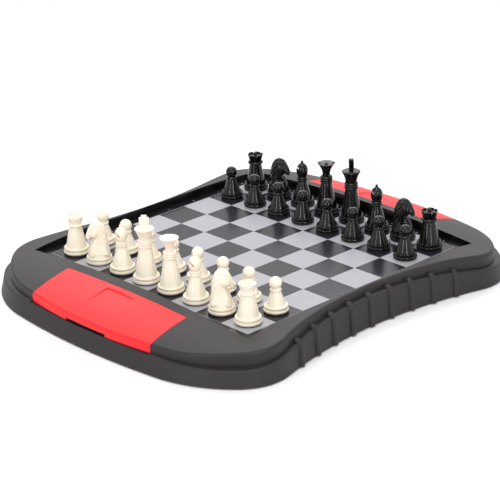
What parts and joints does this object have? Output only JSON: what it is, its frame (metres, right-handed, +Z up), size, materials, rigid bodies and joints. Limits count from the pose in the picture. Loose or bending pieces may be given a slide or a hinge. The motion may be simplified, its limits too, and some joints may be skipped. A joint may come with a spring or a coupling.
{
  "type": "magnetic chess set",
  "caption": "Waisted moulded tray with a recessed checked board, magnetic chessmen standing on it, ribbed long sides and a hinged storage lid at each end.",
  "frame": {"origin": "under the middle of the board, on the surface that the rubber feet stand on", "axes": "+X from file a to file h, +Y from the white side to the black side, +Z up"},
  "size_m": [0.2748, 0.329, 0.0724],
  "materials": {
    "tray_plastic": "fine-textured charcoal",
    "lid_plastic": "smooth coral red",
    "printed_foil": "printed silver and charcoal checks",
    "sheet_steel": "plain sheet",
    "screw_steel": "dark zinc",
    "foot_rubber": "matt black",
    "ivory_plastic": "glossy ivory",
    "black_plastic": "glossy black"
  },
  "bodies": {
    "tray": {"upper_housing": "tray_plastic", "base_cover": "tray_plastic", "steel_sheet": "sheet_steel", "playing_board": "printed_foil", "cover_screws": "screw_steel", "rubber_feet": "foot_rubber"},
    "front_lid": {"front_lid": "lid_plastic"},
    "rear_lid": {"rear_lid": "lid_plastic"},
    "white_rook_a": {"white_rook_a": "ivory_plastic"},
    "white_pawn_a": {"white_pawn_a": "ivory_plastic"},
    "white_knight_b": {"white_knight_b": "ivory_plastic"},
    "white_pawn_b": {"white_pawn_b": "ivory_plastic"},
    "white_bishop_c": {"white_bishop_c": "ivory_plastic"},
    "white_pawn_c": {"white_pawn_c": "ivory_plastic"},
    "white_king": {"white_king": "ivory_plastic"},
    "white_pawn_d": {"white_pawn_d": "ivory_plastic"},
    "white_queen": {"white_queen": "ivory_plastic"},
    "white_pawn_e": {"white_pawn_e": "ivory_plastic"},
    "white_bishop_f": {"white_bishop_f": "ivory_plastic"},
    "white_pawn_f": {"white_pawn_f": "ivory_plastic"},
    "white_knight_g": {"white_knight_g": "ivory_plastic"},
    "white_pawn_g": {"white_pawn_g": "ivory_plastic"},
    "white_rook_h": {"white_rook_h": "ivory_plastic"},
    "white_pawn_h": {"white_pawn_h": "ivory_plastic"},
    "black_rook_a": {"black_rook_a": "black_plastic"},
    "black_pawn_a": {"black_pawn_a": "black_plastic"},
    "black_knight_b": {"black_knight_b": "black_plastic"},
    "black_pawn_b": {"black_pawn_b": "black_plastic"},
    "black_bishop_c": {"black_bishop_c": "black_plastic"},
    "black_pawn_c": {"black_pawn_c": "black_plastic"},
    "black_queen": {"black_queen": "black_plastic"},
    "black_pawn_d": {"black_pawn_d": "black_plastic"},
    "black_king": {"black_king": "black_plastic"},
    "black_pawn_e": {"black_pawn_e": "black_plastic"},
    "black_bishop_f": {"black_bishop_f": "black_plastic"},
    "black_pawn_f": {"black_pawn_f": "black_plastic"},
    "black_knight_g": {"black_knight_g": "black_plastic"},
    "black_pawn_g": {"black_pawn_g": "black_plastic"},
    "black_rook_h": {"black_rook_h": "black_plastic"},
    "black_pawn_h": {"black_pawn_h": "black_plastic"}
  },
  "joints": [
    {"name": "front_lid_hinge", "type": "hinge", "parent": "tray", "child": "front_lid", "pos_m": [0, -0.12805, 0.0249], "axis": [-1, 0, 0], "range_deg": [0, 100]},
    {"name": "rear_lid_hinge", "type": "hinge", "parent": "tray", "child": "rear_lid", "pos_m": [0, 0.12805, 0.0249], "axis": [1, 0, 0], "range_deg": [0, 100]},
    {"name": "white_rook_a_lift", "type": "slide", "parent": "tray", "child": "white_rook_a", "axis": [0, 0, 1], "range_m": [0, 0.06]},
    {"name": "white_pawn_a_lift", "type": "slide", "parent": "tray", "child": "white_pawn_a", "axis": [0, 0, 1], "range_m": [0, 0.06]},
    {"name": "white_knight_b_lift", "type": "slide", "parent": "tray", "child": "white_knight_b", "axis": [0, 0, 1], "range_m": [0, 0.06]},
    {"name": "white_pawn_b_lift", "type": "slide", "parent": "tray", "child": "white_pawn_b", "axis": [0, 0, 1], "range_m": [0, 0.06]},
    {"name": "white_bishop_c_lift", "type": "slide", "parent": "tray", "child": "white_bishop_c", "axis": [0, 0, 1], "range_m": [0, 0.06]},
    {"name": "white_pawn_c_lift", "type": "slide", "parent": "tray", "child": "white_pawn_c", "axis": [0, 0, 1], "range_m": [0, 0.06]},
    {"name": "white_king_lift", "type": "slide", "parent": "tray", "child": "white_king", "axis": [0, 0, 1], "range_m": [0, 0.06]},
    {"name": "white_pawn_d_lift", "type": "slide", "parent": "tray", "child": "white_pawn_d", "axis": [0, 0, 1], "range_m": [0, 0.06]},
    {"name": "white_queen_lift", "type": "slide", "parent": "tray", "child": "white_queen", "axis": [0, 0, 1], "range_m": [0, 0.06]},
    {"name": "white_pawn_e_lift", "type": "slide", "parent": "tray", "child": "white_pawn_e", "axis": [0, 0, 1], "range_m": [0, 0.06]},
    {"name": "white_bishop_f_lift", "type": "slide", "parent": "tray", "child": "white_bishop_f", "axis": [0, 0, 1], "range_m": [0, 0.06]},
    {"name": "white_pawn_f_lift", "type": "slide", "parent": "tray", "child": "white_pawn_f", "axis": [0, 0, 1], "range_m": [0, 0.06]},
    {"name": "white_knight_g_lift", "type": "slide", "parent": "tray", "child": "white_knight_g", "axis": [0, 0, 1], "range_m": [0, 0.06]},
    {"name": "white_pawn_g_lift", "type": "slide", "parent": "tray", "child": "white_pawn_g", "axis": [0, 0, 1], "range_m": [0, 0.06]},
    {"name": "white_rook_h_lift", "type": "slide", "parent": "tray", "child": "white_rook_h", "axis": [0, 0, 1], "range_m": [0, 0.06]},
    {"name": "white_pawn_h_lift", "type": "slide", "parent": "tray", "child": "white_pawn_h", "axis": [0, 0, 1], "range_m": [0, 0.06]},
    {"name": "black_rook_a_lift", "type": "slide", "parent": "tray", "child": "black_rook_a", "axis": [0, 0, 1], "range_m": [0, 0.06]},
    {"name": "black_pawn_a_lift", "type": "slide", "parent": "tray", "child": "black_pawn_a", "axis": [0, 0, 1], "range_m": [0, 0.06]},
    {"name": "black_knight_b_lift", "type": "slide", "parent": "tray", "child": "black_knight_b", "axis": [0, 0, 1], "range_m": [0, 0.06]},
    {"name": "black_pawn_b_lift", "type": "slide", "parent": "tray", "child": "black_pawn_b", "axis": [0, 0, 1], "range_m": [0, 0.06]},
    {"name": "black_bishop_c_lift", "type": "slide", "parent": "tray", "child": "black_bishop_c", "axis": [0, 0, 1], "range_m": [0, 0.06]},
    {"name": "black_pawn_c_lift", "type": "slide", "parent": "tray", "child": "black_pawn_c", "axis": [0, 0, 1], "range_m": [0, 0.06]},
    {"name": "black_queen_lift", "type": "slide", "parent": "tray", "child": "black_queen", "axis": [0, 0, 1], "range_m": [0, 0.06]},
    {"name": "black_pawn_d_lift", "type": "slide", "parent": "tray", "child": "black_pawn_d", "axis": [0, 0, 1], "range_m": [0, 0.06]},
    {"name": "black_king_lift", "type": "slide", "parent": "tray", "child": "black_king", "axis": [0, 0, 1], "range_m": [0, 0.06]},
    {"name": "black_pawn_e_lift", "type": "slide", "parent": "tray", "child": "black_pawn_e", "axis": [0, 0, 1], "range_m": [0, 0.06]},
    {"name": "black_bishop_f_lift", "type": "slide", "parent": "tray", "child": "black_bishop_f", "axis": [0, 0, 1], "range_m": [0, 0.06]},
    {"name": "black_pawn_f_lift", "type": "slide", "parent": "tray", "child": "black_pawn_f", "axis": [0, 0, 1], "range_m": [0, 0.06]},
    {"name": "black_knight_g_lift", "type": "slide", "parent": "tray", "child": "black_knight_g", "axis": [0, 0, 1], "range_m": [0, 0.06]},
    {"name": "black_pawn_g_lift", "type": "slide", "parent": "tray", "child": "black_pawn_g", "axis": [0, 0, 1], "range_m": [0, 0.06]},
    {"name": "black_rook_h_lift", "type": "slide", "parent": "tray", "child": "black_rook_h", "axis": [0, 0, 1], "range_m": [0, 0.06]},
    {"name": "black_pawn_h_lift", "type": "slide", "parent": "tray", "child": "black_pawn_h", "axis": [0, 0, 1], "range_m": [0, 0.06]}
  ]
}
